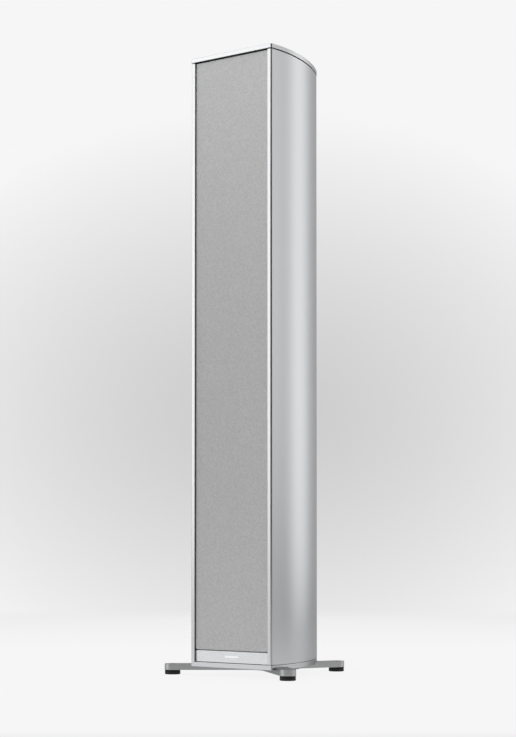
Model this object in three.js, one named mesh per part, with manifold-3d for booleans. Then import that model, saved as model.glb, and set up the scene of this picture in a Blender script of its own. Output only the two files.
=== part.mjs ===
// A slim three-way floorstanding speaker, in millimetres, +Z up, the front facing -Y.
//
// Inside this file every piece is laid out from the front plane of the cabinet:
// x runs to the speaker's left and right of its middle, y = 0 is the front plane and grows
// towards the back, z = 0 is the floor. The group at the end moves the origin to the middle
// of the footprint.

import * as THREE from 'three';
import { mergeVertices } from 'three/addons/utils/BufferGeometryUtils.js';
import Module from 'manifold-3d';

const wasm = await Module();
wasm.setup();

// ---------------------------------------------------------------- driving dimensions

const HEIGHT = 1080;             // floor to the top of the cap
const BODY_WIDTH = 180;
const BODY_DEPTH = 214;          // front plane to the flat of the back
const STRAIGHT_SIDE = 20;        // depth of side that is square to the front
const SIDE_PULL = 46;            // how far the side keeps its direction before it curves in
const BACK_PULL = 76;            // how far it keeps the slope that it meets the back with
const BACK_SLOPE = THREE.MathUtils.degToRad(34);
const BACK_CORNER_R = 12;
const BACK_FLAT_HALF = 18;       // half width of the flat strip at the back
const FRONT_CORNER_R = 2.5;
const WALL = 4;                  // extruded aluminium

const FOOT_HEIGHT = 8;
const ARM_THICKNESS = 10.5;
const ARM_RECESS = 3.5;          // how deep the base lies in the bottom plate
const BOTTOM_PLATE = 8;
const BOTTOM_SEAM = 0.8;
const CAP_THICKNESS = 7.2;
const CAP_GAP = 1.8;             // shadow gap, filled by the gasket behind it
const CAP_OVERHANG = 0.6;

const FIT = 0.3;                 // clearance of boards in the shell and parts in pockets

const RAIL_WIDTH = 8;
const RAIL_DEPTH = 5;
const BOARD = 16;                // MDF boards
const BAFFLE_FACE = 16;          // depth of the baffle's front face
const BAFFLE_THICKNESS = 18;

const GRILLE_RECESS = 3.3;       // front plane to cloth
const GRILLE_GAP = 1;            // all round the grille
const CLOTH = 0.8;
const FRAME_DEPTH = 5.9;
const FRAME_BAR = 9;
const PIN_R = 3.2;
const PIN_LENGTH = 12;
const PIN_CLEARANCE = 0.5;

const PLATE_HEIGHT = 21;
const PLATE_THICKNESS = 3.7;
const PLATE_CHAMFER = 2;
const MARK_WIDTH = 30;
const MARK_HEIGHT = 3;
const MARK_DEPTH = 0.8;

const PORT_R = 16;
const PORT_WALL = 2.5;
const PORT_FLARE = 5;
const PORT_LENGTH = 110;

// Feet, the angle from +X of the arm that each stands on, and the fillet between the two arms.
const FRONT_FOOT = { x: 128, y: -4, angle: THREE.MathUtils.degToRad(39), filletR: 35 };
const REAR_FOOT = { x: 50, y: 237, angle: THREE.MathUtils.degToRad(66.5), filletR: 8 };
const ARM_HALF_WIDTH = 14;
const POCKET_GAP = 1.5;          // between the base and its pocket in the bottom plate
const SPINE_HALF_WIDTH = 15;
const PAD_R = 13.6;
const PAD_GAP = 0.3;
const STUD_R = 4;                // M8 levelling stud
const STUD_CLEARANCE = 0.4;
const BOLT_R = 3;
const BOLT_HEAD_R = 5;
const BOLT_HEAD = 5;
const BOLT_PLACES = { front: 92, rear: 140 };   // along the spine

// The terminal cup: its window in the shell, its floor's face and thickness, its wall.
const TERMINAL = { width: 46, z0: 84, z1: 164, face: 190, thickness: 4, wall: 2 };
const POST_SPREAD = 10.5;
const POST_Z = 124;
const POST_R = 3;
const POST_LENGTH = 17;          // from the cup's floor outwards
const COLLAR = 3;
const KNOB_R = 7.5;
const KNOB_LENGTH = 15.5;
const WASHER = 1.2;

const SIDE_STEPS = 12;           // facets along each curved side
const CORNER_STEPS = 3;          // facets round each corner of the plan
const ROUND = 18;                // facets round drivers, ports and feet
const SMALL_ROUND = 12;          // facets round pins, bolts and knobs

// ---------------------------------------------------------------- levels worked out from them

const ARM_TOP = FOOT_HEIGHT + ARM_THICKNESS;
const PLATE_Z0 = ARM_TOP - ARM_RECESS;
const PLATE_Z1 = PLATE_Z0 + BOTTOM_PLATE;
const SHELL_Z0 = PLATE_Z1 + BOTTOM_SEAM;
const CAP_Z0 = HEIGHT - CAP_THICKNESS;
const SHELL_Z1 = CAP_Z0 - CAP_GAP;
const BOTTOM_BOARD_Z1 = PLATE_Z1 + BOARD;
const TOP_BOARD_Z0 = SHELL_Z1 - BOARD;
const BAFFLE_BACK = BAFFLE_FACE + BAFFLE_THICKNESS;
const RAIL_INNER = BODY_WIDTH / 2 - RAIL_WIDTH;
const GRILLE_HALF = RAIL_INNER - GRILLE_GAP;
const GRILLE_Z0 = SHELL_Z0 + PLATE_HEIGHT + GRILLE_GAP;
const GRILLE_Z1 = SHELL_Z1 - GRILLE_GAP;
const FRAME_FRONT = GRILLE_RECESS + CLOTH;
const FRAME_BACK = FRAME_FRONT + FRAME_DEPTH;

// ---------------------------------------------------------------- drivers, from the top

/** A height measured down from the top of the shell. */
const fromTop = (drop) => SHELL_Z1 - drop;

const TWEETER = { z: fromTop(86), flangeR: 42, bodyR: 32, throatR: 15, motorR: 30, domeR: 13 };

// A cone driver's sizes: flange and hole radii, half width of the surround's roll, radius of
// the voice coil, depth from baffle face to the basket's floor, motor radius and thickness.
const MIDRANGE = {
  z: fromTop(191), flangeR: 58, bodyR: 50.5, rollR: 3.6, coilR: 11, basketDepth: 40, motorR: 29,
  motorDepth: 20,
};
const WOOFER = {
  flangeR: 70, bodyR: 62, rollR: 4.2, coilR: 13.5, basketDepth: 50, motorR: 35,
  motorDepth: 24,
};
const WOOFER_Z = { upper: fromTop(336), lower: fromTop(486) };
const FLANGE = 3.5;
const BASKET_WALL = 2.5;
const CONE_THICKNESS = 1.2;
const FORMER = 0.9;
const COIL_GAP = 0.7;            // running clearance of the voice coil in the motor

const PARTITION_Z = fromTop(257);   // closes the midrange off from the woofers
const BRACE_Z = { upper: fromTop(411), lower: fromTop(691) };
const BRACE_HOLE = { y: 105, r: 46 };
const PORT_Z = { upper: 430, lower: 330 };
const CROSSBAR_Z = [fromTop(136), PARTITION_Z, BRACE_Z.upper, fromTop(566), 350, 200];
const PIN_Z = [fromTop(23), BRACE_Z.upper, 350, 62];

const CROSSOVER = { x: 50, y0: 50, y1: 145, thickness: 6 };
const CHOKES = {
  woofer: { x: -22, y: 78, r: 24, height: 26 },
  midrange: { x: -20, y: 124, r: 17, height: 18 },
};
const CHOKE_CORE = 0.45;         // a choke's bore, as a share of its radius
const CAPACITOR = { x: 26, r: 14, y0: 62, y1: 118 };
const WOOL = { behindMotor: 12, aboveBrace: 100, margin: 6 };

// ---------------------------------------------------------------- materials

const finish = (color, roughness, metalness) =>
  new THREE.MeshStandardMaterial({ color, roughness, metalness });

const anodised = finish(0xd2d3d4, 0.35, 0.9);
const brushed = finish(0xd8d9da, 0.3, 0.95);
const castSilver = finish(0xc2c3c4, 0.4, 0.85);
const steel = finish(0xb4b5b6, 0.3, 1);
const copper = finish(0xb87333, 0.4, 0.9);
const gold = finish(0xd9b65a, 0.25, 1);
const ferrite = finish(0x4a4a4c, 0.6, 0.2);
const mdf = finish(0x9b7a55, 0.85, 0);
const blackBoard = finish(0x1d1d1e, 0.8, 0);
const blackPlastic = finish(0x1a1a1b, 0.5, 0);
const redPlastic = finish(0x8e1c1c, 0.4, 0);
const rubber = finish(0x141414, 0.8, 0);
const cloth = finish(0xa9a9aa, 0.95, 0);
const paper = finish(0x2c2c2e, 0.7, 0);
const coneMetal = finish(0xc6c8ca, 0.35, 0.9);
const spiderCloth = finish(0xc9a24a, 0.9, 0);
const wool = finish(0xe9e7e2, 1, 0);

// ---------------------------------------------------------------- making and cutting solids

/** A closed geometry as a solid that can be cut and joined. */
function toSolid(geometry) {
  const bare = geometry.clone();
  bare.deleteAttribute('normal');
  bare.deleteAttribute('uv');
  const merged = mergeVertices(bare, 1e-4);
  const index = merged.index.array;
  const triangles = [];
  for (let i = 0; i < index.length; i += 3) {
    const [a, b, c] = [index[i], index[i + 1], index[i + 2]];
    if (a !== b && b !== c && c !== a) triangles.push(a, b, c);
  }
  return new wasm.Manifold(new wasm.Mesh({
    numProp: 3,
    vertProperties: Float32Array.from(merged.attributes.position.array),
    triVerts: Uint32Array.from(triangles),
  }));
}

/** A solid back as a three.js geometry. */
function toGeometry(solid) {
  const { vertProperties, triVerts } = solid.getMesh();
  const geometry = new THREE.BufferGeometry();
  geometry.setAttribute('position', new THREE.BufferAttribute(vertProperties, 3));
  geometry.setIndex(new THREE.BufferAttribute(triVerts, 1));
  geometry.computeVertexNormals();
  return geometry;
}

/** Cuts each tool geometry out of the first one. */
function cut(geometry, ...tools) {
  let solid = toSolid(geometry);
  for (const tool of tools) solid = solid.subtract(toSolid(tool));
  return toGeometry(solid);
}

/** Joins geometries that overlap into one. */
function join(geometry, ...others) {
  let solid = toSolid(geometry);
  for (const other of others) solid = solid.add(toSolid(other));
  return toGeometry(solid);
}

/** Keeps what two geometries share. */
function common(geometry, other) {
  return toGeometry(toSolid(geometry).intersect(toSolid(other)));
}

/** A box between two corners. */
function box(x0, y0, z0, x1, y1, z1) {
  const geometry = new THREE.BoxGeometry(x1 - x0, y1 - y0, z1 - z0);
  return geometry.translate((x0 + x1) / 2, (y0 + y1) / 2, (z0 + z1) / 2);
}

/** A flat shape in x and y, raised from z0 to z1. */
function prism(shape, z0, z1) {
  const geometry = new THREE.ExtrudeGeometry(shape, { depth: z1 - z0, bevelEnabled: false });
  return geometry.translate(0, 0, z0);
}

/** A shape drawn in x and z, run through the depth from y0 to y1. */
function alongY(shape, y0, y1) {
  const geometry = new THREE.ExtrudeGeometry(shape, { depth: y1 - y0, bevelEnabled: false });
  return geometry.rotateX(Math.PI / 2).translate(0, y1, 0);
}

/** A shape drawn in y and z, run across from x0 to x1. */
function alongX(shape, x0, x1) {
  const geometry = new THREE.ExtrudeGeometry(shape, { depth: x1 - x0, bevelEnabled: false });
  const turn = new THREE.Matrix4().makeBasis(
    new THREE.Vector3(0, 1, 0), new THREE.Vector3(0, 0, 1), new THREE.Vector3(1, 0, 0));
  return geometry.applyMatrix4(turn).translate(x0, 0, 0);
}

const toShape = (points) => new THREE.Shape(points.map(([x, y]) => new THREE.Vector2(x, y)));

/**
 * A body turned about the y axis. The profile lists [radius, depth] pairs, either round a
 * closed loop or from the axis back to the axis.
 */
function turned(profile, x, z, facets = ROUND) {
  const points = profile.map(([r, y]) => new THREE.Vector2(r, y));
  if (THREE.ShapeUtils.area(points) < 0) points.reverse();
  if (points[0].x > 0) points.push(points[0].clone());
  return new THREE.LatheGeometry(points, facets).translate(x, 0, z);
}

/** A turned body that stands upright: the profile's second number is the height. */
function turnedUpright(profile, x, y, facets = SMALL_ROUND) {
  return turned(profile, 0, 0, facets).rotateX(Math.PI / 2).translate(x, y, 0);
}

/** A plain cylinder along y. */
function rod(x, z, r, y0, y1, facets = ROUND) {
  return turned([[0, y0], [r, y0], [r, y1], [0, y1]], x, z, facets);
}

/** A plain upright cylinder. */
function post(x, y, r, z0, z1, facets = SMALL_ROUND) {
  return turnedUpright([[0, z0], [r, z0], [r, z1], [0, z1]], x, y, facets);
}

// ---------------------------------------------------------------- the plan outline

const backCorner = new THREE.Vector2(BACK_FLAT_HALF, BODY_DEPTH - BACK_CORNER_R);
const sideEnd = new THREE.Vector2(
  backCorner.x + BACK_CORNER_R * Math.cos(BACK_SLOPE),
  backCorner.y + BACK_CORNER_R * Math.sin(BACK_SLOPE));
const side = new THREE.CubicBezierCurve(
  new THREE.Vector2(BODY_WIDTH / 2, STRAIGHT_SIDE),
  new THREE.Vector2(BODY_WIDTH / 2, STRAIGHT_SIDE + SIDE_PULL),
  new THREE.Vector2(sideEnd.x + BACK_PULL * Math.sin(BACK_SLOPE),
    sideEnd.y - BACK_PULL * Math.cos(BACK_SLOPE)),
  sideEnd);

/**
 * The right side and back, set in square to the outline, as points from front to back: the
 * curved side, the rounded back corner and half of the flat strip.
 */
function sideLine(inset) {
  const curve = Array.from({ length: SIDE_STEPS }, (_, i) => {
    const p = side.getPoint(i / SIDE_STEPS);
    const t = side.getTangent(i / SIDE_STEPS);
    return [p.x - inset * t.y, p.y + inset * t.x];
  });
  const corner = Array.from({ length: CORNER_STEPS + 1 }, (_, i) => {
    const a = BACK_SLOPE + (Math.PI / 2 - BACK_SLOPE) * i / CORNER_STEPS;
    const r = BACK_CORNER_R - inset;
    return [backCorner.x + r * Math.cos(a), backCorner.y + r * Math.sin(a)];
  });
  return [...curve, ...corner, [0, BODY_DEPTH - inset]];
}

/** Half width of the set-in plan at a depth. */
function halfWidthAt(line, depth) {
  const i = line.findIndex(([, y]) => y > depth);
  if (i < 1) return line[0][0];
  const [[x0, y0], [x1, y1]] = [line[i - 1], line[i]];
  return x0 + (x1 - x0) * (depth - y0) / (y1 - y0);
}

/** The right half of the plan, set in, from its front edge round to the middle of the back. */
function halfPlan(inset, front, cornerR = 0) {
  const line = sideLine(inset);
  const half = halfWidthAt(line, front);
  const cornerSteps = cornerR > 0 ? CORNER_STEPS : 0;
  const corner = Array.from({ length: cornerSteps + 1 }, (_, i) => {
    const a = cornerSteps ? (i / cornerSteps) * Math.PI / 2 : 0;
    return [half - cornerR + cornerR * Math.sin(a), front + cornerR - cornerR * Math.cos(a)];
  });
  return [...corner, ...line.filter(([, y]) => y > front + cornerR)];
}

const mirrored = (points) => points.map(([x, y]) => [-x, y]).reverse();

/** The whole plan, set in from the outline, with its front edge at the depth given. */
function plan(inset, front, cornerR = 0) {
  const right = halfPlan(inset, front, cornerR);
  return toShape([...right, ...mirrored(right).slice(1)]);
}

// ---------------------------------------------------------------- cabinet

function cabinetShell() {
  const outer = halfPlan(0, 0, FRONT_CORNER_R);
  const inner = halfPlan(WALL, RAIL_DEPTH);
  const section = toShape([
    [RAIL_INNER, 0], ...outer, ...mirrored(outer).slice(1), [-RAIL_INNER, 0],
    [-RAIL_INNER, RAIL_DEPTH], ...mirrored(inner).reverse(), ...[...inner].reverse().slice(1),
    [RAIL_INNER, RAIL_DEPTH],
  ]);
  const back = BODY_DEPTH + 5;
  const holeR = PORT_R + PORT_FLARE + PORT_WALL + FIT;
  const portHoles = Object.values(PORT_Z).map((z) => rod(0, z, holeR, BODY_DEPTH / 2, back));
  const window = box(-TERMINAL.width / 2, BODY_DEPTH / 2, TERMINAL.z0,
    TERMINAL.width / 2, back, TERMINAL.z1);
  return cut(prism(section, SHELL_Z0, SHELL_Z1), ...portHoles, window);
}

const topCap = () =>
  prism(plan(-CAP_OVERHANG, -CAP_OVERHANG, FRONT_CORNER_R), CAP_Z0, HEIGHT);

const capGasket = () => prism(plan(WALL, WALL), SHELL_Z1, CAP_Z0);

const topBoard = () => prism(plan(WALL + FIT, BAFFLE_BACK), TOP_BOARD_Z0, SHELL_Z1);

const bottomBoard = () =>
  prism(plan(WALL + FIT, GRILLE_RECESS + PLATE_THICKNESS + FIT), PLATE_Z1, BOTTOM_BOARD_Z1);

/** A brace behind the baffle, with a round opening for the air. */
function brace(z) {
  const board = prism(plan(WALL + FIT, BAFFLE_BACK), z - BOARD / 2, z + BOARD / 2);
  return cut(board, post(0, BRACE_HOLE.y, BRACE_HOLE.r, z - BOARD, z + BOARD, ROUND));
}

const partition = () =>
  prism(plan(WALL + FIT, BAFFLE_BACK), PARTITION_Z - BOARD / 2, PARTITION_Z + BOARD / 2);

function baffle() {
  const [z0, z1] = [BOTTOM_BOARD_Z1 + FIT, SHELL_Z1];
  const panel = common(prism(plan(WALL + FIT, BAFFLE_FACE), z0, z1),
    box(-BODY_WIDTH, 0, z0, BODY_WIDTH, BAFFLE_BACK, z1));
  const through = [BAFFLE_FACE - 1, BAFFLE_BACK + 1];
  const holes = [[TWEETER.z, TWEETER.bodyR], [MIDRANGE.z, MIDRANGE.bodyR],
    ...Object.values(WOOFER_Z).map((z) => [z, WOOFER.bodyR])];
  const driverHoles = holes.map(([z, r]) => rod(0, z, r + FIT, ...through));
  const sockets = pinPlaces().map(([x, z]) =>
    rod(x, z, PIN_R + PIN_CLEARANCE, BAFFLE_FACE - 1, FRAME_BACK + PIN_LENGTH + 1, SMALL_ROUND));
  return cut(panel, ...driverHoles, ...sockets);
}

// ---------------------------------------------------------------- grille and lower plate

/** Where the grille's pins enter the baffle: in pairs, on the frame's uprights. */
function pinPlaces() {
  const x = GRILLE_HALF - CLOTH - FRAME_BAR / 2;
  return PIN_Z.flatMap((z) => [[x, z], [-x, z]]);
}

function grilleFrame() {
  const half = GRILLE_HALF - CLOTH;
  const z0 = GRILLE_Z0 + CLOTH;
  const z1 = GRILLE_Z1 - CLOTH;
  const edges = [z1 - FRAME_BAR / 2, ...CROSSBAR_Z, z0 + FRAME_BAR / 2];
  const windows = edges.slice(1).map((z, i) => box(
    -half + FRAME_BAR, FRAME_FRONT - 1, z + FRAME_BAR / 2,
    half - FRAME_BAR, FRAME_BACK + 1, edges[i] - FRAME_BAR / 2));
  const frame = cut(box(-half, FRAME_FRONT, z0, half, FRAME_BACK, z1), ...windows);
  const pins = pinPlaces().map(([x, z]) =>
    rod(x, z, PIN_R, FRAME_FRONT + 1, FRAME_BACK + PIN_LENGTH, SMALL_ROUND));
  return join(frame, ...pins);
}

const grilleCloth = () =>
  box(-GRILLE_HALF, GRILLE_RECESS, GRILLE_Z0, GRILLE_HALF, FRAME_FRONT, GRILLE_Z1);

const markBox = (depth) => box(
  -MARK_WIDTH / 2, GRILLE_RECESS, SHELL_Z0 + PLATE_HEIGHT / 2 - MARK_HEIGHT / 2,
  MARK_WIDTH / 2, GRILLE_RECESS + depth, SHELL_Z0 + PLATE_HEIGHT / 2 + MARK_HEIGHT / 2);

/** The plate below the grille: its upper edge is chamfered, a slot takes the mark. */
function lowerPlate() {
  const front = GRILLE_RECESS;
  const back = front + PLATE_THICKNESS;
  const top = SHELL_Z0 + PLATE_HEIGHT;
  const section = toShape([
    [front, SHELL_Z0], [back, SHELL_Z0], [back, top], [front + PLATE_CHAMFER, top],
    [front, top - PLATE_CHAMFER],
  ]);
  const slot = markBox(MARK_DEPTH).translate(0, -MARK_DEPTH / 2, 0);
  return cut(alongX(section, -GRILLE_HALF, GRILLE_HALF), slot);
}

const mark = () => markBox(MARK_DEPTH / 2);

// ---------------------------------------------------------------- tweeter

/** Turns a profile given from the baffle's face into a body at the driver's centre. */
function atDriver(profile, z) {
  return turned(profile.map(([r, y]) => [r, y + BAFFLE_FACE]), 0, z);
}

function tweeterFaceplate() {
  const { z, flangeR, bodyR, throatR } = TWEETER;
  return atDriver([
    [throatR, 6], [throatR, -0.5], [throatR + 9, -FLANGE], [flangeR, -FLANGE], [flangeR, 0],
    [bodyR, 0], [bodyR, 6],
  ], z);
}

function tweeterMotor() {
  const { z, motorR, domeR } = TWEETER;
  const former = domeR - 0.8;
  return atDriver([
    [0, 6.3], [former - COIL_GAP, 6.3], [former - COIL_GAP, 20], [domeR + COIL_GAP, 20],
    [domeR + COIL_GAP, 6.3], [motorR, 6.3], [motorR, 32], [0, 32],
  ], z);
}

function tweeterDome() {
  const { z, domeR } = TWEETER;
  return atDriver([
    [0, -3], [domeR * 0.45, -2.2], [domeR * 0.8, 0.2], [domeR, 3.2], [domeR, 13],
    [domeR - 0.8, 13], [domeR - 0.8, 3.6], [domeR * 0.75, 1.2], [domeR * 0.42, -1.2], [0, -2],
  ], z);
}

// ---------------------------------------------------------------- cone drivers

/** Radius of a driver's cone at its rim, inside the surround's roll. */
const coneRim = (d) => d.bodyR - 2 * BASKET_WALL + 1 - 2 * d.rollR - 0.5;

function basket(d, z) {
  const floorR = d.coilR + 6;
  const waist = d.motorR + 5;
  const inner = d.bodyR - 2 * BASKET_WALL + 1;
  return atDriver([
    [d.flangeR, -FLANGE], [d.flangeR, 0], [d.bodyR, 0], [d.bodyR - 2, d.basketDepth * 0.3],
    [waist, d.basketDepth * 0.88], [waist, d.basketDepth], [floorR, d.basketDepth],
    [floorR, d.basketDepth - BASKET_WALL], [waist - BASKET_WALL, d.basketDepth - BASKET_WALL],
    [waist - BASKET_WALL, d.basketDepth * 0.87],
    [inner - 1, d.basketDepth * 0.27], [inner, 1], [inner, -FLANGE],
  ], z);
}

function motor(d, z) {
  const bore = d.coilR + FORMER / 2 + 0.7 + COIL_GAP;
  const pole = d.coilR - FORMER / 2 - COIL_GAP;
  const face = d.basketDepth;
  return atDriver([
    [0, face - 3], [pole, face - 3], [pole, face + d.motorDepth - 4],
    [bore, face + d.motorDepth - 4], [bore, face], [d.motorR, face],
    [d.motorR, face + d.motorDepth], [0, face + d.motorDepth],
  ], z);
}

/** The half roll of rubber between the basket and the cone. */
function surround(d, z) {
  const inner = coneRim(d) + 0.5;
  const outer = inner + 2 * d.rollR;
  const middle = (inner + outer) / 2;
  const arc = (r, steps) => Array.from({ length: steps + 1 }, (_, i) => {
    const a = Math.PI * (1 - i / steps);
    return [middle + r * Math.cos(a), -1 - r * Math.sin(a)];
  });
  return atDriver([...arc(d.rollR, 5), ...arc(d.rollR - 0.8, 3).reverse()], z);
}

/** Cone and dust cap in one, the front of the moving body. */
function cone(d, z) {
  const rim = coneRim(d);
  const cap = d.coilR + 1.5;
  const neck = d.basketDepth * 0.46;
  const front = [
    [0, neck - 8], [cap * 0.6, neck - 6.6], [cap, neck - 2.5],
    [cap + (rim - cap) * 0.55, neck * 0.36], [rim, -1.5],
  ];
  const back = [
    [rim, -1.5 + CONE_THICKNESS], [cap + (rim - cap) * 0.53, neck * 0.36 + CONE_THICKNESS + 0.6],
    [d.coilR + FORMER, neck + 1], [d.coilR - FORMER, neck + 1], [d.coilR - FORMER, neck - 2.2],
    [cap * 0.5, neck - 5.4], [0, neck - 8 + CONE_THICKNESS],
  ];
  return atDriver([...front, ...back], z);
}

function voiceCoil(d, z) {
  const inner = d.coilR - FORMER / 2;
  const outer = d.coilR + FORMER / 2;
  const start = d.basketDepth * 0.46 + 1;
  const end = d.basketDepth + d.motorDepth - 4 - 7;
  return atDriver([
    [outer, start], [outer, end - 8], [outer + 0.7, end - 8], [outer + 0.7, end],
    [inner, end], [inner, start],
  ], z);
}

/** The corrugated disc that centres the voice coil. */
function spider(d, z) {
  const inner = d.coilR + FORMER / 2 + 0.6;
  const outer = d.motorR + 5 - BASKET_WALL - FIT;
  const y = d.basketDepth * 0.87;
  const rings = [0, 0.35, 0.7, 1].map((s, i) => [
    inner + s * (outer - inner), y - (i % 2 ? 2.6 : 1)]);
  return atDriver([...rings, ...rings.map(([r, v]) => [r, v - 0.9]).reverse()], z);
}

// ---------------------------------------------------------------- reflex ports

/** A tube flared at both ends, its outer end trimmed to the curve of the cabinet's back. */
function port(z) {
  const flare = PORT_R + PORT_FLARE;
  const back = BODY_DEPTH + 2;
  const start = BODY_DEPTH - PORT_LENGTH;
  const tube = turned([
    [flare, start], [PORT_R + 1.5, start + 3], [PORT_R, start + 10], [PORT_R, BODY_DEPTH - 16],
    [PORT_R + 2, BODY_DEPTH - 8], [flare, BODY_DEPTH], [flare, back], [flare + PORT_WALL, back],
    [flare + PORT_WALL, BODY_DEPTH - 12], [PORT_R + PORT_WALL, BODY_DEPTH - 18],
    [PORT_R + PORT_WALL, start + 8], [flare + 1, start + 1],
  ], 0, z);
  return common(tube, prism(plan(0, 0), z - 2 * flare, z + 2 * flare));
}

// ---------------------------------------------------------------- terminals

/** A tray let into the back, its rim flush with the cabinet's curve. */
function terminalCup() {
  const half = TERMINAL.width / 2 - FIT;
  const [z0, z1] = [TERMINAL.z0 + FIT, TERMINAL.z1 - FIT];
  const { wall, face } = TERMINAL;
  const block = box(-half, face - TERMINAL.thickness, z0, half, BODY_DEPTH, z1);
  const hollow = box(-half + wall, face, z0 + wall, half - wall, BODY_DEPTH + 1, z1 - wall);
  const holes = [-POST_SPREAD, POST_SPREAD].map((x) =>
    rod(x, POST_Z, POST_R + FIT, BODY_DEPTH / 2, BODY_DEPTH, SMALL_ROUND));
  return common(cut(block, hollow, ...holes), prism(plan(0, 0), z0, z1));
}

/** The fixed post: a nut inside, a collar on the cup's floor, and the threaded stem. */
function bindingPost(x) {
  const inside = TERMINAL.face - TERMINAL.thickness;
  return turned([
    [0, inside - 8], [POST_R, inside - 8], [POST_R, inside - 4], [POST_R + 2, inside - 4],
    [POST_R + 2, inside], [POST_R, inside], [POST_R, TERMINAL.face],
    [KNOB_R - 0.5, TERMINAL.face], [KNOB_R - 0.5, TERMINAL.face + COLLAR],
    [POST_R, TERMINAL.face + COLLAR],
    [POST_R, TERMINAL.face + POST_LENGTH], [0, TERMINAL.face + POST_LENGTH],
  ], x, POST_Z, SMALL_ROUND);
}

const WASHER_Y = TERMINAL.face + COLLAR + FIT;

const clampWasher = (x) => turned([
  [POST_R + FIT, WASHER_Y], [KNOB_R - 0.5, WASHER_Y], [KNOB_R - 0.5, WASHER_Y + WASHER],
  [POST_R + FIT, WASHER_Y + WASHER],
], x, POST_Z, SMALL_ROUND);

/** The screw cap over the post, closed at its outer end. */
function knob(x) {
  const start = WASHER_Y + WASHER + 0.2;
  const end = start + KNOB_LENGTH;
  const bore = TERMINAL.face + POST_LENGTH + 1;
  return turned([
    [POST_R + FIT, start], [KNOB_R - 1, start], [KNOB_R, start + 1], [KNOB_R, end - 1.5],
    [KNOB_R - 1.5, end], [0, end], [0, bore], [POST_R + FIT, bore],
  ].reverse(), x, POST_Z, SMALL_ROUND);
}

// ---------------------------------------------------------------- crossover and wool

const CROSSOVER_TOP = BOTTOM_BOARD_Z1 + CROSSOVER.thickness;

const crossoverBoard = () => box(-CROSSOVER.x, CROSSOVER.y0, BOTTOM_BOARD_Z1,
  CROSSOVER.x, CROSSOVER.y1, CROSSOVER_TOP);

/** An air-cored coil standing on the crossover board. */
const choke = ({ x, y, r, height }) => turnedUpright([
  [r * CHOKE_CORE, CROSSOVER_TOP], [r, CROSSOVER_TOP], [r, CROSSOVER_TOP + height],
  [r * CHOKE_CORE, CROSSOVER_TOP + height],
], x, y);

const capacitor = () => rod(CAPACITOR.x, CROSSOVER_TOP + CAPACITOR.r, CAPACITOR.r,
  CAPACITOR.y0, CAPACITOR.y1, SMALL_ROUND);

function dampingWool() {
  const behindMotors = BAFFLE_FACE + WOOFER.basketDepth + WOOFER.motorDepth
    + WOOL.behindMotor;
  const clearOfPort = PORT_Z.upper + PORT_R + PORT_FLARE + WOOL.margin;
  return prism(plan(WALL + WOOL.margin, behindMotors),
    Math.max(BRACE_Z.lower + WOOL.aboveBrace, clearOfPort),
    BRACE_Z.upper - BOARD / 2 - WOOL.margin);
}

// ---------------------------------------------------------------- base and feet

const FEET = {
  front_right: { ...FRONT_FOOT },
  front_left: { ...FRONT_FOOT, x: -FRONT_FOOT.x },
  rear_right: { ...REAR_FOOT },
  rear_left: { ...REAR_FOOT, x: -REAR_FOOT.x },
};

/** 1 for a foot in front of the body's middle, -1 for one behind it. */
const inward = (foot) => Math.sign(BODY_DEPTH / 2 - foot.y);

/** Depth where an arm's middle line meets the spine. */
const hubDepth = (foot) => foot.y + inward(foot) * Math.abs(foot.x) * Math.tan(foot.angle);

/** An arm with a full-round end, from the spine out to its foot. */
function arm(foot, halfWidth) {
  const length = Math.hypot(foot.x, hubDepth(foot) - foot.y);
  const outline = new THREE.Shape();
  outline.moveTo(0, halfWidth);
  outline.lineTo(0, -halfWidth);
  outline.absarc(length, 0, halfWidth, -Math.PI / 2, Math.PI / 2, false);
  const direction = Math.atan2(foot.y - hubDepth(foot), foot.x);
  return { outline, direction, start: hubDepth(foot) };
}

/** The filling of the corner between a foot's arm and its mirror image. */
function cornerFilling(foot, half, margin) {
  const r = foot.filletR - margin;
  const hub = hubDepth(foot);
  const out = -inward(foot);
  const centre = hub + out * (half + r) / Math.cos(foot.angle);
  const touch = {
    x: (r + half) * Math.sin(foot.angle),
    y: centre - out * (r + half) * Math.cos(foot.angle),
  };
  const filling = new THREE.Shape();
  filling.moveTo(touch.x, touch.y);
  filling.lineTo(0, hub);
  filling.lineTo(-touch.x, touch.y);
  const from = Math.PI / 2 + foot.angle;
  const to = Math.PI / 2 - foot.angle;
  filling.absarc(0, centre, r, -out * from, -out * to, out < 0);
  return filling;
}

/** The whole base as a solid, grown by the margin, between two heights. */
function baseBody(margin, z0, z1) {
  const half = ARM_HALF_WIDTH + margin;
  const arms = Object.values(FEET).map((foot) => {
    const { outline, direction, start } = arm(foot, half);
    return prism(outline, z0, z1).rotateZ(direction).translate(0, start, 0);
  });
  const spineHalf = SPINE_HALF_WIDTH + margin;
  const spine = box(-spineHalf, hubDepth(FRONT_FOOT), z0, spineHalf, hubDepth(REAR_FOOT), z1);
  const fillings = [FRONT_FOOT, REAR_FOOT].map((foot) =>
    prism(cornerFilling(foot, half, margin), z0, z1));
  return join(spine, ...arms, ...fillings);
}

function baseCross() {
  const studHoles = Object.values(FEET).map(({ x, y }) =>
    post(x, y, STUD_R + STUD_CLEARANCE, FOOT_HEIGHT - 1, ARM_TOP + 1));
  const boltHoles = Object.values(BOLT_PLACES).flatMap((y) => [
    post(0, y, BOLT_R + FIT, FOOT_HEIGHT - 1, ARM_TOP + 1),
    post(0, y, BOLT_HEAD_R + FIT, FOOT_HEIGHT - 1, FOOT_HEIGHT + BOLT_HEAD),
  ]);
  return cut(baseBody(0, FOOT_HEIGHT, ARM_TOP), ...studHoles, ...boltHoles);
}

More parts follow.
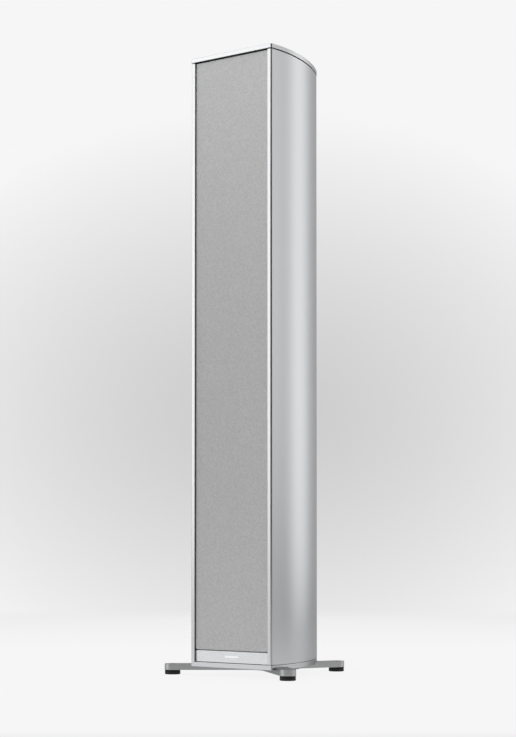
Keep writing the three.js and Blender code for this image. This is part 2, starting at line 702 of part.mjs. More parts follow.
function bottomPlate() {
  const pocket = baseBody(POCKET_GAP, PLATE_Z0 - 1, ARM_TOP);
  const boltHoles = Object.values(BOLT_PLACES).map((y) =>
    post(0, y, BOLT_R + FIT, PLATE_Z0, PLATE_Z1 + 1));
  return cut(prism(plan(0, 0, FRONT_CORNER_R), PLATE_Z0, PLATE_Z1), pocket, ...boltHoles);
}

const baseBolt = (y) => turnedUpright([
  [0, FOOT_HEIGHT + FIT], [BOLT_HEAD_R, FOOT_HEIGHT + FIT],
  [BOLT_HEAD_R, FOOT_HEIGHT + BOLT_HEAD], [BOLT_R, FOOT_HEIGHT + BOLT_HEAD],
  [BOLT_R, PLATE_Z1], [0, PLATE_Z1],
], 0, y);

const footPad = ({ x, y }) => turnedUpright([
  [0, 0], [PAD_R - 0.8, 0], [PAD_R, 0.8], [PAD_R, FOOT_HEIGHT - PAD_GAP],
  [0, FOOT_HEIGHT - PAD_GAP],
], x, y, ROUND);

const footStud = ({ x, y }) => post(x, y, STUD_R, FOOT_HEIGHT - PAD_GAP, ARM_TOP - 0.5);

// ---------------------------------------------------------------- assembly

const speaker = new THREE.Group();
const layout = new THREE.Group();
layout.position.y = -(FRONT_FOOT.y + REAR_FOOT.y) / 2;
speaker.add(layout);

function add(name, geometry, material) {
  const mesh = new THREE.Mesh(geometry, material);
  mesh.name = name;
  layout.add(mesh);
}

add('cabinet_shell', cabinetShell(), anodised);
add('top_cap', topCap(), anodised);
add('cap_gasket', capGasket(), rubber);
add('top_board', topBoard(), mdf);
add('bottom_board', bottomBoard(), mdf);
add('bottom_plate', bottomPlate(), anodised);
add('baffle', baffle(), blackBoard);
add('midrange_partition', partition(), mdf);
add('brace_upper', brace(BRACE_Z.upper), mdf);
add('brace_lower', brace(BRACE_Z.lower), mdf);

add('grille_frame', grilleFrame(), blackPlastic);
add('grille_cloth', grilleCloth(), cloth);
add('lower_plate', lowerPlate(), brushed);
add('plate_mark', mark(), brushed);

add('tweeter_faceplate', tweeterFaceplate(), blackPlastic);
add('tweeter_motor', tweeterMotor(), ferrite);
add('tweeter_dome', tweeterDome(), coneMetal);

const coneDrivers = [
  ['midrange', MIDRANGE, MIDRANGE.z],
  ['woofer_upper', WOOFER, WOOFER_Z.upper],
  ['woofer_lower', WOOFER, WOOFER_Z.lower],
];
for (const [name, sizes, z] of coneDrivers) {
  add(`${name}_basket`, basket(sizes, z), castSilver);
  add(`${name}_motor`, motor(sizes, z), ferrite);
  add(`${name}_surround`, surround(sizes, z), rubber);
  add(`${name}_cone`, cone(sizes, z), sizes === MIDRANGE ? coneMetal : paper);
  add(`${name}_voice_coil`, voiceCoil(sizes, z), copper);
  add(`${name}_spider`, spider(sizes, z), spiderCloth);
}

for (const [name, z] of Object.entries(PORT_Z)) add(`port_${name}`, port(z), blackPlastic);

add('terminal_cup', terminalCup(), blackPlastic);
for (const [name, x, colour] of [
  ['red', -POST_SPREAD, redPlastic], ['black', POST_SPREAD, blackPlastic],
]) {
  add(`binding_post_${name}`, bindingPost(x), gold);
  add(`clamp_washer_${name}`, clampWasher(x), gold);
  add(`knob_${name}`, knob(x), colour);
}

add('crossover_board', crossoverBoard(), blackBoard);
add('woofer_choke', choke(CHOKES.woofer), copper);
add('midrange_choke', choke(CHOKES.midrange), copper);
add('capacitor', capacitor(), blackPlastic);
add('damping_wool', dampingWool(), wool);

add('base_cross', baseCross(), castSilver);
for (const [name, y] of Object.entries(BOLT_PLACES)) add(`base_bolt_${name}`, baseBolt(y), steel);
for (const [name, foot] of Object.entries(FEET)) {
  add(`foot_pad_${name}`, footPad(foot), rubber);
  add(`foot_stud_${name}`, footStud(foot), steel);
}

export default speaker;
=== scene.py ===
"""A slim floorstanding loudspeaker in satin aluminium, standing on a pale studio sweep."""

import math

import bmesh
import bpy
import numpy as np
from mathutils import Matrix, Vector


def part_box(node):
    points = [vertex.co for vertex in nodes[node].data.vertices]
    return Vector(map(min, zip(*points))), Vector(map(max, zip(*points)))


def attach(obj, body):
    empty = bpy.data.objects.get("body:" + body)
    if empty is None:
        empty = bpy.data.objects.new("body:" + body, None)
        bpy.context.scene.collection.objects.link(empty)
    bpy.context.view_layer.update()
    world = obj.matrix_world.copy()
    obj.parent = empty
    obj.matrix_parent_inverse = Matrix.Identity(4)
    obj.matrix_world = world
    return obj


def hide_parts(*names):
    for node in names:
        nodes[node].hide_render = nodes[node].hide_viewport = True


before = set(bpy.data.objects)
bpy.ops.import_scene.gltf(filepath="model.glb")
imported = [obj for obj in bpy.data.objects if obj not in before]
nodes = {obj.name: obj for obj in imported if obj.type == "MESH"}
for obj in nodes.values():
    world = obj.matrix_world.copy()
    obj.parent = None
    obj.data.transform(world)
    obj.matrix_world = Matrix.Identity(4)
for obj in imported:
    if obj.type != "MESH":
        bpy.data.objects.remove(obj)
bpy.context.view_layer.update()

MM = 0.001


# ---------------------------------------------------------------- camera
# A long lens low on the object, a little under a quarter of its height, looking up slightly.

VIEW_TURN = math.radians(38.89)
camera = bpy.data.cameras.new("camera")
camera.lens = 94.5
camera.sensor_width = 36
camera.shift_y = 0.15
camera.clip_end = 60
camera_object = bpy.data.objects.new("camera", camera)
bpy.context.scene.collection.objects.link(camera_object)
camera_object.location = (2.123, -2.673, 0.231)
camera_object.rotation_euler = (math.radians(90 + 1.868), 0, VIEW_TURN)
bpy.context.scene.camera = camera_object


# ---------------------------------------------------------------- studio
# A pale paper sweep whose light and shade are painted into its emission: a painted pool of light
# on the floor about the object, bending up into a wall that glows, painted grey in its middle and
# white towards its edges.
# The room is bright to the left and behind, and dark in front and right.

def linear(hex_colour):
    """An sRGB hex colour such as 'd2d3d4' as linear red, green, blue and alpha."""
    parts = [int(hex_colour[i:i + 2], 16) / 255 for i in (0, 2, 4)]
    return [c / 12.92 if c <= 0.04045 else ((c + 0.055) / 1.055) ** 2.4 for c in parts] + [1]


def node(tree, kind, links=(), **settings):
    """Adds a node, sets its properties and inputs by name, and links (output, input) pairs."""
    made = tree.nodes.new(kind)
    for key, value in settings.items():
        if hasattr(made, key):
            setattr(made, key, value)
        else:
            made.inputs[key.replace("_", " ")].default_value = value
    for output, name in links:
        tree.links.new(output, made.inputs[name])
    return made


def material(name, **surface):
    """A named Principled material with its constant sockets set; returns it, tree and shader."""
    made = bpy.data.materials.new(name)
    made.use_nodes = True
    tree = made.node_tree
    shader = tree.nodes["Principled BSDF"]
    for key, value in surface.items():
        shader.inputs[key.replace("_", " ")].default_value = value
    return made, tree, shader


def show(name, mesh):
    """An object for a mesh, in the scene, with smooth faces."""
    mesh.polygons.foreach_set("use_smooth", np.ones(len(mesh.polygons), bool))
    made = bpy.data.objects.new(name, mesh)
    bpy.context.scene.collection.objects.link(made)
    return made


def grid_mesh(name, points, loop_u=False, loop_v=False, ends=False):
    """A mesh of quads over an array of points (rows, columns, 3), joined up where it loops.
    With ends, the first and last rows are closed by a face each."""
    rows, columns = points.shape[:2]
    index = np.arange(rows * columns).reshape(rows, columns)
    first, last = index[0].tolist(), index[-1].tolist()
    if loop_u:
        index = np.vstack([index, index[:1]])
    if loop_v:
        index = np.hstack([index, index[:, :1]])
    quads = np.stack([index[:-1, :-1], index[:-1, 1:], index[1:, 1:], index[1:, :-1]], axis=-1)
    faces = quads.reshape(-1, 4).tolist()
    if ends:
        faces += [first[::-1], last]
    mesh = bpy.data.meshes.new(name)
    mesh.from_pydata(points.reshape(-1, 3).tolist(), [], faces)
    return show(name, mesh)


SWEEP_HALF_WIDTH = 7.0
SWEEP_FRONT, SWEEP_BEND, SWEEP_RADIUS, SWEEP_TOP = 7.0, 6.0, 3.0, 6.0
EYE_HEIGHT = camera_object.location.z
EYE_DISTANCE = camera_object.location.xy.length
WALL_FOOT, WALL_BLEND = 2.4, 0.8
GLOW_RISE = 0.066
GLOW_ACROSS, GLOW_UP, GLOW_DOWN = 0.2186, 0.1592, 0.15


def sweep_grid(rows=220, columns=181):
    """Points over the sweep, their glow, from 0 in its middle to 1 and over outside, and how
    far each belongs to the glowing wall.
    s runs back along the floor, round the bend (s = r * angle) and up the wall. The glow is
    painted light and shade, laid out in slopes from the lens in the shape that a lamp aimed along
    the lens would light the paper."""
    bend_length = SWEEP_RADIUS * math.pi / 2
    s = np.linspace(-SWEEP_FRONT, SWEEP_BEND + bend_length + SWEEP_TOP, rows)[:, None]
    across = np.linspace(-SWEEP_HALF_WIDTH, SWEEP_HALF_WIDTH, columns)[None]
    angle = np.clip((s - SWEEP_BEND) / SWEEP_RADIUS, 0, math.pi / 2)
    straight_up = np.maximum(s - SWEEP_BEND - bend_length, 0)
    depth = np.minimum(s, SWEEP_BEND) + SWEEP_RADIUS * np.sin(angle) + 0 * across
    height = SWEEP_RADIUS * (1 - np.cos(angle)) + straight_up + 0 * across
    x = across * math.cos(VIEW_TURN) - depth * math.sin(VIEW_TURN)
    y = across * math.sin(VIEW_TURN) + depth * math.cos(VIEW_TURN)
    away = np.maximum(depth + EYE_DISTANCE, 0.5)
    rise = (height - EYE_HEIGHT) / away - GLOW_RISE
    reach = np.where(rise > 0, GLOW_UP, GLOW_DOWN)
    glow = np.hypot(across / away / GLOW_ACROSS, rise / reach)
    wall = np.clip((depth - WALL_FOOT) / WALL_BLEND, 0, 1)
    return np.stack([x, y, height], axis=-1), glow, wall


def ramp(values, start, length):
    """From 0 at a start to 1 a length further on."""
    return np.clip((values - start) / length, 0, 1)


# Painted light and shade in the sweep's emission: the wall is painted grey in its middle,
# lightening to white outwards; the floor is painted as a pool of light about the object, with
# painted shade far back, off to the sides and in front.
MIDDLE_TONE, EDGE_TONE = linear("cbcbcb")[0], linear("f6f6f6")[0]
GLOW_POWER = 1.35
FLOOR_TONE, FAR_LOSS, UNLIT_LOSS = 0.865, 0.1, 0.75
FAR_START, FAR_LENGTH = 0.8, 3.0
LIT_HALF_WIDTH, LIT_SPREAD, LIT_FRONT, LIT_EDGE = 0.54, 0.14, 1.1, 0.4
FLOOR_ALBEDO = 0.05

sweep_points, glow, on_wall = sweep_grid()
turn_x, turn_y = math.cos(VIEW_TURN), math.sin(VIEW_TURN)
off_axis = np.abs(sweep_points[..., 0] * turn_x + sweep_points[..., 1] * turn_y)
back = sweep_points[..., 1] * turn_x - sweep_points[..., 0] * turn_y
sweep = grid_mesh("studio_sweep", sweep_points)
painted_wall_glow = MIDDLE_TONE + (EDGE_TONE - MIDDLE_TONE) * np.clip(glow, 0, 1) ** GLOW_POWER
painted_floor_light = FLOOR_TONE - FAR_LOSS * ramp(back, FAR_START, FAR_LENGTH)
painted_floor_light *= 1 - UNLIT_LOSS * ramp(off_axis, LIT_HALF_WIDTH + LIT_SPREAD * back, LIT_EDGE)
painted_floor_light *= 1 - UNLIT_LOSS * ramp(-back, LIT_FRONT, LIT_EDGE)
tone = painted_wall_glow * on_wall + painted_floor_light * (1 - on_wall)
for name, values in (("tone", tone), ("floor_share", FLOOR_ALBEDO * (1 - on_wall))):
    layer = sweep.data.attributes.new(name, "FLOAT", "POINT")
    layer.data.foreach_set("value", values.ravel())
# The sweep glows with this painted light through its emission; only the floor keeps a small
# diffuse share that takes the real lamps' light and shadow.
paper, tree, shader = material("sweep_paper_painted_light", Roughness=0.9, Specular_IOR_Level=0.0,
                               Emission_Color=(1, 1, 1, 1))
glowing = node(tree, "ShaderNodeAttribute", attribute_name="tone")
tree.links.new(glowing.outputs["Fac"], shader.inputs["Emission Strength"])
diffuse = node(tree, "ShaderNodeAttribute", attribute_name="floor_share")
tree.links.new(diffuse.outputs["Fac"], shader.inputs["Base Color"])
sweep.data.materials.append(paper)

DARK_BEARING = math.radians(-42)
world = bpy.data.worlds.new("studio")
world.use_nodes = True
tree = world.node_tree
direction = node(tree, "ShaderNodeTexCoord")
toward_dark = node(tree, "ShaderNodeVectorMath", [(direction.outputs["Generated"], 0)],
                   operation="DOT_PRODUCT")
toward_dark.inputs[1].default_value = (math.cos(DARK_BEARING), math.sin(DARK_BEARING), 0)
room = node(tree, "ShaderNodeMapRange", [(toward_dark.outputs["Value"], "Value")],
            interpolation_type="SMOOTHSTEP", From_Min=0.1, From_Max=0.75, To_Min=0.92,
            To_Max=0.06)
tree.links.new(room.outputs["Result"], tree.nodes["Background"].inputs["Strength"])
tree.nodes["Background"].inputs["Color"].default_value = (1, 1, 1, 1)
bpy.context.scene.world = world
bpy.context.scene.view_settings.view_transform = "Standard"


def soft_box(name, bearing, distance, height, width, tall, radiance):
    """An area light at a compass bearing round the object, in degrees from +X towards +Y,
    facing the object's axis level, centred at a height; white paper in full light has
    radiance 1, and an area light of power P and area A has P / (pi * A)."""
    light = bpy.data.lights.new(name, "AREA")
    light.shape = "RECTANGLE"
    light.size, light.size_y = width, tall
    light.energy = radiance * math.pi * width * tall
    made = bpy.data.objects.new(name, light)
    bpy.context.scene.collection.objects.link(made)
    turn = math.radians(bearing)
    made.location = (distance * math.cos(turn), distance * math.sin(turn), height)
    made.rotation_euler = (math.pi / 2, 0, turn + math.pi / 2)
    return made


soft_box("face_box", -132, 2.6, 1.2, 1.4, 2.4, 1.2)
soft_box("key_box", -80, 1.35, 1.75, 0.8, 0.7, 7.0)
soft_box("side_box", 79, 2.2, 1.05, 0.7, 2.1, 1.28)
soft_box("edge_box", 28, 2.4, 1.0, 0.35, 1.7, 3.2)
overhead = soft_box("overhead_box", 0, 0.0, 2.9, 1.2, 5.0, 1.6)
overhead.rotation_euler = (0, 0, VIEW_TURN)


# ---------------------------------------------------------------- cabinet shell
# One aluminium extrusion, bead blasted and clear anodised: flat front rails, chamfered front
# corners and sides that curve into a narrow flat back. Port and terminal openings are milled.

shell_low, shell_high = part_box("cabinet_shell")
FRONT = shell_low.y
BODY_WIDTH = shell_high.x - shell_low.x
BODY_DEPTH = shell_high.y - shell_low.y
STRAIGHT_SIDE = 20 * MM
SIDE_PULL = 46 * MM
BACK_PULL = 76 * MM
BACK_SLOPE = math.radians(34)
BACK_CORNER_R = 12 * MM
BACK_FLAT_HALF = 18 * MM
FRONT_CHAMFER = 2.1 * MM
EDGE_R = 0.7 * MM
WALL = 4 * MM
RAIL_WIDTH = 8.7 * MM
RAIL_DEPTH = 5 * MM
FIT = 0.3 * MM


def bezier(p0, p1, p2, p3, t):
    """Points on a cubic curve and its unit tangents, for an array of parameters."""
    t = t[:, None]
    at = (1 - t) ** 3 * p0 + 3 * (1 - t) ** 2 * t * p1 + 3 * (1 - t) * t ** 2 * p2 + t ** 3 * p3
    go = (1 - t) ** 2 * (p1 - p0) + 2 * (1 - t) * t * (p2 - p1) + t ** 2 * (p3 - p2)
    return at, go / np.linalg.norm(go, axis=1, keepdims=True)


def arc(centre, radius, start, end, steps):
    """Points on an arc in plan, with angles in degrees from +X towards +Y."""
    angle = np.radians(np.linspace(start, end, steps + 1))
    return np.stack([centre[0] + radius * np.cos(angle), centre[1] + radius * np.sin(angle)], 1)


def side_line(inset, steps=56):
    """The curved side, the back corner and half the back, set in square to the outline.
    Depths are from the front plane. The side is a cubic curve that meets a corner arc."""
    corner = np.array([BACK_FLAT_HALF, BODY_DEPTH - BACK_CORNER_R])
    slope = np.array([math.cos(BACK_SLOPE), math.sin(BACK_SLOPE)])
    end = corner + BACK_CORNER_R * slope
    start = np.array([BODY_WIDTH / 2, STRAIGHT_SIDE])
    at, go = bezier(start, start + [0, SIDE_PULL],
                    end + BACK_PULL * np.array([slope[1], -slope[0]]), end,
                    np.linspace(0, 1, steps))
    curve = at + inset * np.stack([-go[:, 1], go[:, 0]], 1)
    bend = arc(corner, BACK_CORNER_R - inset, math.degrees(BACK_SLOPE), 90, 10)[1:]
    flat = np.array([[BACK_FLAT_HALF / 2, BODY_DEPTH - inset], [0, BODY_DEPTH - inset]])
    return np.vstack([curve, bend, flat])


def front_corner(inset):
    """The chamfered front corner, each of its two edges eased with a small radius."""
    half = BODY_WIDTH / 2 - inset
    reach = EDGE_R * math.tan(math.radians(22.5))
    first = arc((half - FRONT_CHAMFER - reach, inset + EDGE_R), EDGE_R, -90, -45, 4)
    second = arc((half - EDGE_R, inset + FRONT_CHAMFER + reach), EDGE_R, -45, 0, 4)
    return np.vstack([first, second])


def at_height(plan, z):
    """A plan outline, given from the front plane, as points of the row frame at a height."""
    return np.column_stack([plan[:, 0], plan[:, 1] + FRONT, np.full(len(plan), z)])


def plan_ring(inset, z):
    """The whole plan outline at a height, set in, as a closed ring; its halves mirror."""
    right = np.vstack([[[0.0, inset]], front_corner(inset),
                       [[BODY_WIDTH / 2 - inset, STRAIGHT_SIDE / 2]], side_line(inset)])
    left = right[::-1] * [-1, 1]
    return at_height(np.vstack([right, left[1:-1]]), z)


def crisp(made, sharp=30):
    """Smooth faces with crisp sharp edges; flats keep their own normals beside small rounds."""
    made.data.polygons.foreach_set("use_smooth", np.ones(len(made.data.polygons), bool))
    made.data.set_sharp_from_angle(angle=math.radians(sharp))
    step = made.modifiers.new("flat_faces", "WEIGHTED_NORMAL")
    step.keep_sharp = True
    return made


def finished(made, sharp=30):
    """A piece with doubled points merged and its faces pointing outwards."""
    work = bmesh.new()
    work.from_mesh(made.data)
    bmesh.ops.remove_doubles(work, verts=work.verts, dist=1e-6)
    bmesh.ops.recalc_face_normals(work, faces=work.faces)
    work.to_mesh(made.data)
    work.free()
    return crisp(made, sharp)


def ringed(name, rings):
    """Rings of a section joined in order, its two ends closed by flat faces."""
    return finished(grid_mesh(name, np.array(rings), loop_v=True, ends=True))


def dress(made, finish, body, *stands_for, slot):
    """Gives a piece its material and body, and hides the CAD nodes it stands for; the slot is not
    used.
    """
    made.data.materials.clear()
    made.data.materials.append(finish)
    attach(made, body)
    if stands_for:
        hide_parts(*stands_for)
    return made


def kept(name, finish):
    """A CAD piece shown as it is, with a material."""
    made = nodes[name]
    made.data.materials.clear()
    made.data.materials.append(finish)
    return made


def applied(made, tools=()):
    """The piece with its modifiers applied to its mesh, and the tools removed."""
    bpy.context.view_layer.update()
    graph = bpy.context.evaluated_depsgraph_get()
    mesh = bpy.data.meshes.new_from_object(made.evaluated_get(graph))
    made.modifiers.clear()
    made.data = mesh
    for tool in tools:
        bpy.data.objects.remove(tool)
    return made


def cut_with(made, *tools):
    """Cuts tools out of a piece and removes them."""
    for tool in tools:
        step = made.modifiers.new("cut", "BOOLEAN")
        step.operation, step.object, step.solver = "DIFFERENCE", tool, "EXACT"
    return crisp(applied(made, tools))


def turned(name, profile, x, z, segments=72, ripple=None):
    """A body turned about an axis along Y: the profile lists radius and depth in metres.
    ripple, if given, is a function of angle and profile that scales the radius."""
    profile = np.array(profile, float)
    angle = np.linspace(0, 2 * math.pi, segments, endpoint=False)[:, None]
    radius = profile[:, 0] * (np.ones_like(angle) if ripple is None else ripple(angle, profile))
    depth = np.broadcast_to(profile[:, 1], radius.shape)
    points = np.stack([x + radius * np.cos(angle), depth, z + radius * np.sin(angle)], axis=-1)
    return finished(grid_mesh(name, points, loop_u=True, loop_v=True))


def block(name, low, high):
    """A plain closed box."""
    ring = [(low[0], low[1]), (high[0], low[1]), (high[0], high[1]), (low[0], high[1])]
    rings = [[(a, b, z) for a, b in ring] for z in (low[2], high[2])]
    return finished(grid_mesh(name, np.array(rings), loop_v=True, ends=True))


def middle_of(name):
    """The centre of a CAD piece's box, and its largest half width across."""
    low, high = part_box(name)
    return (low + high) / 2, max(high.x - low.x, high.z - low.z) / 2


def shell_section():
    """The closed section of the extrusion: rail edge, outer outline, and inner outline back."""
    half = BODY_WIDTH / 2
    rail = half - RAIL_WIDTH
    ease = EDGE_R / 2
    outer = np.vstack([arc((rail + ease, ease), ease, 180, 270, 3), front_corner(0),
                       [[half, STRAIGHT_SIDE / 2]], side_line(0)])
    inner = np.vstack([side_line(WALL)[-2::-1], [[half - WALL, RAIL_DEPTH], [rail, RAIL_DEPTH]]])
    mirror = np.array([-1, 1])
    middle = np.array([[0.0, BODY_DEPTH - WALL]])
    return np.vstack([outer, outer[-2::-1] * mirror, inner[::-1] * mirror, middle, inner])


def hole_for(name, beyond):
    """A cutting cylinder through the back, a clearance wider than a round piece."""
    centre, radius = middle_of(name)
    reach = FRONT + BODY_DEPTH + beyond
    profile = [(0, 0.0), (radius + FIT, 0.0), (radius + FIT, reach), (0, reach)]
    return turned(f"hole_{name}", profile, centre.x, centre.z, 64)


shell_levels = [shell_low.z, 0.12, 0.2, 0.35, 0.5, 0.65, 0.8, 0.95, shell_high.z]
shell = ringed("cabinet_shell_skin", [at_height(shell_section(), z) for z in shell_levels])
cup_low, cup_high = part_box("terminal_cup")
window = block("window", (cup_low.x - FIT, 0.0, cup_low.z - FIT),
               (cup_high.x + FIT, cup_high.y + 0.05, cup_high.z + FIT))
shell = cut_with(shell, hole_for("port_upper", 0.02), hole_for("port_lower", 0.02), window)


def grain(tree, scale_mm, detail=2.0, stretch=(1, 1, 1)):
    """Noise whose grains are this many millimetres across, stretched along the axes."""
    place = node(tree, "ShaderNodeTexCoord")
    spread = node(tree, "ShaderNodeMapping", [(place.outputs["Object"], "Vector")])
    spread.inputs["Scale"].default_value = [1 / s for s in stretch]
    return node(tree, "ShaderNodeTexNoise", [(spread.outputs["Vector"], "Vector")],
                Scale=1 / (scale_mm * MM), Detail=detail)


def roughen(tree, shader, height, depth_mm, strength):
    """Drives the shader's normal from a height, as deep as given."""
    bump = node(tree, "ShaderNodeBump", [(height, "Height")], Strength=strength,
                Distance=depth_mm * MM)
    tree.links.new(bump.outputs["Normal"], shader.inputs["Normal"])


GLOSS_SPREAD = 0.04
EDGE_TINT = (0.45, 0.45, 0.45, 1.0)


def satin_metal(name, colour, roughness, scale_mm, stretch=(1, 1, 1)):
    """Metal with a fine even grain in its gloss and surface, in millimetres."""
    made, tree, shader = material(name, Metallic=1.0, Base_Color=linear(colour),
                                  Specular_Tint=EDGE_TINT)
    grit = grain(tree, scale_mm, stretch=stretch)
    spread = node(tree, "ShaderNodeMapRange", [(grit.outputs["Fac"], "Value")],
                  From_Min=0.3, From_Max=0.7, To_Min=roughness - GLOSS_SPREAD,
                  To_Max=roughness + GLOSS_SPREAD)
    tree.links.new(spread.outputs["Result"], shader.inputs["Roughness"])
    roughen(tree, shader, grit.outputs["Fac"], 0.03, 0.25)
    return made


# Bead-blasted and clear anodised 6063 aluminium.
anodised = satin_metal("anodised_aluminium", "bfc0c1", 0.32, 0.8)
dress(shell, anodised, "cabinet", "cabinet_shell", slot="anodised_aluminium")


# ---------------------------------------------------------------- top cap and gasket
# A plate of the same aluminium, 7 mm thick with lightly broken edges. A black rubber gasket set
# in from the edge carries it and makes the shadow line.

cap_low, cap_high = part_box("top_cap")
OVERHANG = (cap_high.x - cap_low.x - BODY_WIDTH) / 2
BREAK = 0.6 * MM


def plate_rings(low, high, inset):
    """Rings of a plate whose edges are rounded: a quarter circle in four steps, top and foot."""
    turn = np.radians(np.linspace(0, 90, 5))
    edge = [(inset + BREAK * (1 - math.sin(a)), low + BREAK * (1 - math.cos(a))) for a in turn]
    return [plan_ring(i, z) for i, z in edge] + [plan_ring(i, low + high - z)
                                                 for i, z in reversed(edge)]


cap = ringed("top_cap_plate", plate_rings(cap_low.z, cap_high.z, -OVERHANG))
dress(cap, anodised, "cabinet", "top_cap", slot="anodised_aluminium")

gasket_low, gasket_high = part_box("cap_gasket")
gasket = ringed("cap_gasket_ring", [
    plan_ring(WALL, gasket_low.z), plan_ring(WALL - FIT, (gasket_low.z + gasket_high.z) / 2),
    plan_ring(WALL, gasket_high.z)])


def moulded(name, colour, roughness, scale_mm=0.6, strength=0.2):
    """Moulded plastic, rubber or paper: one colour with a fine skin, in millimetres."""
    made, tree, shader = material(name, Base_Color=linear(colour), Roughness=roughness,
                                  Specular_IOR_Level=0.4)
    skin = grain(tree, scale_mm, 3.0)
    roughen(tree, shader, skin.outputs["Fac"], 0.08, strength)
    return made


# Black nitrile rubber.
rubber = moulded("black_rubber", "0d0d0e", 0.7, 1.1)
dress(gasket, rubber, "cabinet", "cap_gasket", slot="rubber")


# ---------------------------------------------------------------- base and bottom plate
# The base is one aluminium casting with four arms, faced and satin finished. It lies in a pocket
# milled in the bottom plate, with a narrow gap round each arm.

def eased_copy(name, source, radius, segments=3):
    """A merged copy of a CAD piece whose sharp edges are rounded by a bevel."""
    made = show(name, nodes[source].data.copy())
    work = bmesh.new()
    work.from_mesh(made.data)
    bmesh.ops.remove_doubles(work, verts=work.verts, dist=1e-6)
    bmesh.ops.dissolve_limit(work, angle_limit=math.radians(0.5), verts=work.verts,
                             edges=work.edges)
    work.to_mesh(made.data)
    work.free()
    ease = made.modifiers.new("ease", "BEVEL")
    ease.width, ease.segments, ease.limit_method = radius, segments, "ANGLE"
    ease.angle_limit = math.radians(35)
    return crisp(applied(made), 25)


# Sand-cast aluminium, shot blasted and lacquered.
cast = satin_metal("satin_cast_aluminium", "aaabac", 0.3, 1.2)
base = eased_copy("base_casting", "base_cross", 0.8 * MM)
dress(base, cast, "cabinet", "base_cross", slot="cast_aluminium")
bottom = eased_copy("bottom_plate_skin", "bottom_plate", 0.4 * MM, 2)
dress(bottom, anodised, "cabinet", "bottom_plate", slot="anodised_aluminium")

# Zinc-plated steel of the bolts and studs.
zinc = satin_metal("zinc_plated_steel", "b9babc", 0.3, 0.5)
for place in ("front", "rear"):
    kept(f"base_bolt_{place}", zinc)


# ---------------------------------------------------------------- feet
# Four levelling feet: an M8 stud threaded in the arm's end and a black rubber pad under it.

def upright(name, profile, x, y, segments=48):
    """A body turned about a vertical axis: the profile lists radius and height."""
    profile = np.array(profile, float)
    angle = np.linspace(0, 2 * math.pi, segments, endpoint=False)[:, None]
    points = np.stack([x + profile[:, 0] * np.cos(angle), y + profile[:, 0] * np.sin(angle),
                       np.broadcast_to(profile[:, 1], (segments, len(profile)))], axis=-1)
    return finished(grid_mesh(name, points, loop_u=True, loop_v=True))


def pad_profile(radius, low, high):
    """A pad with a rounded foot edge, a shallow waist groove and a rounded shoulder."""
    deep = 0.5 * MM
    waist = low + (high - low) * 0.72
    return [(0, low), (radius - 1.2 * MM, low), (radius - 0.35 * MM, low + 0.3 * MM),
            (radius, low + 1.2 * MM), (radius, waist - deep), (radius - deep, waist),
            (radius, waist + deep), (radius, high - 0.4 * MM), (radius - 0.4 * MM, high),
            (0, high)]


def thread_profile(radius, low, high, pitch):
    """A stud with V grooves at a pitch, for turning: crests at the radius, roots below it."""
    count = int((high - low) / pitch)
    depth = 0.6 * pitch
    turns = [(radius - depth * (i % 2), low + i * pitch / 2) for i in range(2 * count + 1)]
    return [(0, low)] + turns + [(radius - depth, high), (0, high)]


STUD_PITCH = 1.25 * MM
STUD_GAP = 0.06 * MM
for corner in ("front_right", "front_left", "rear_right", "rear_left"):
    low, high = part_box(f"foot_pad_{corner}")
    x, y = (low.x + high.x) / 2, (low.y + high.y) / 2
    pad = upright(f"foot_pad_{corner}_rubber", pad_profile((high.y - low.y) / 2, low.z, high.z),
                  x, y)
    dress(pad, rubber, f"foot_{corner}", f"foot_pad_{corner}", slot="rubber")
    low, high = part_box(f"foot_stud_{corner}")
    stud = upright(f"foot_stud_{corner}_thread",
                   thread_profile((high.y - low.y) / 2, low.z + STUD_GAP, high.z, STUD_PITCH),
                   x, y, 32)
    dress(stud, zinc, f"stud_{corner}", f"foot_stud_{corner}", slot="zinc_steel")


# ---------------------------------------------------------------- boards
# Boards of 16 mm fibreboard close the shell, stiffen it and carry the drivers; the baffle is
# painted black.

def board_finish(name, colour, roughness):
    """Fibreboard: fine fibres 1 mm long, in its colour and its surface."""
    made, tree, shader = material(name, Roughness=roughness, Specular_IOR_Level=0.3)
    fibres = grain(tree, 1.0, 4.0)
    shade = node(tree, "ShaderNodeMixRGB", [(fibres.outputs["Fac"], "Fac")])
    base_colour = linear(colour)
    shade.inputs["Color1"].default_value = [0.8 * c for c in base_colour[:3]] + [1]
    shade.inputs["Color2"].default_value = [min(1.2 * c, 1) for c in base_colour[:3]] + [1]
    tree.links.new(shade.outputs["Color"], shader.inputs["Base Color"])
    roughen(tree, shader, fibres.outputs["Fac"], 0.1, 0.3)
    return made


mdf = board_finish("bare_fibreboard", "a1805a", 0.85)
black_board = board_finish("black_painted_board", "1b1b1c", 0.7)
for name in ("top_board", "bottom_board", "midrange_partition", "brace_upper", "brace_lower"):
    kept(name, mdf)
kept("baffle", black_board)


# ---------------------------------------------------------------- grille
# A moulded frame with six crossbars and eight pins, and acoustic cloth stretched over it: a plain
# weave of grey polyester, wrapped round the frame's edge.

black_abs = moulded("black_abs", "1a1a1b", 0.5, 0.5, 0.12)
kept("grille_frame", black_abs)

cloth_low, cloth_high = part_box("grille_cloth")
CLOTH = cloth_high.y - cloth_low.y
CLOTH_CORNER = 2.2 * MM
CLOTH_WRAP = 5.5 * MM


def rounded_outline(half_w, half_h, radius, steps=8):
    """Points round a rectangle with round corners about the origin, as a closed loop."""
    corners = []
    for sx, sz, start in ((1, 1, 0), (-1, 1, 90), (-1, -1, 180), (1, -1, 270)):
        centre = (sx * (half_w - radius), sz * (half_h - radius))
        corners.append(arc(centre, radius, start, start + 90, steps))
    return np.vstack(corners)


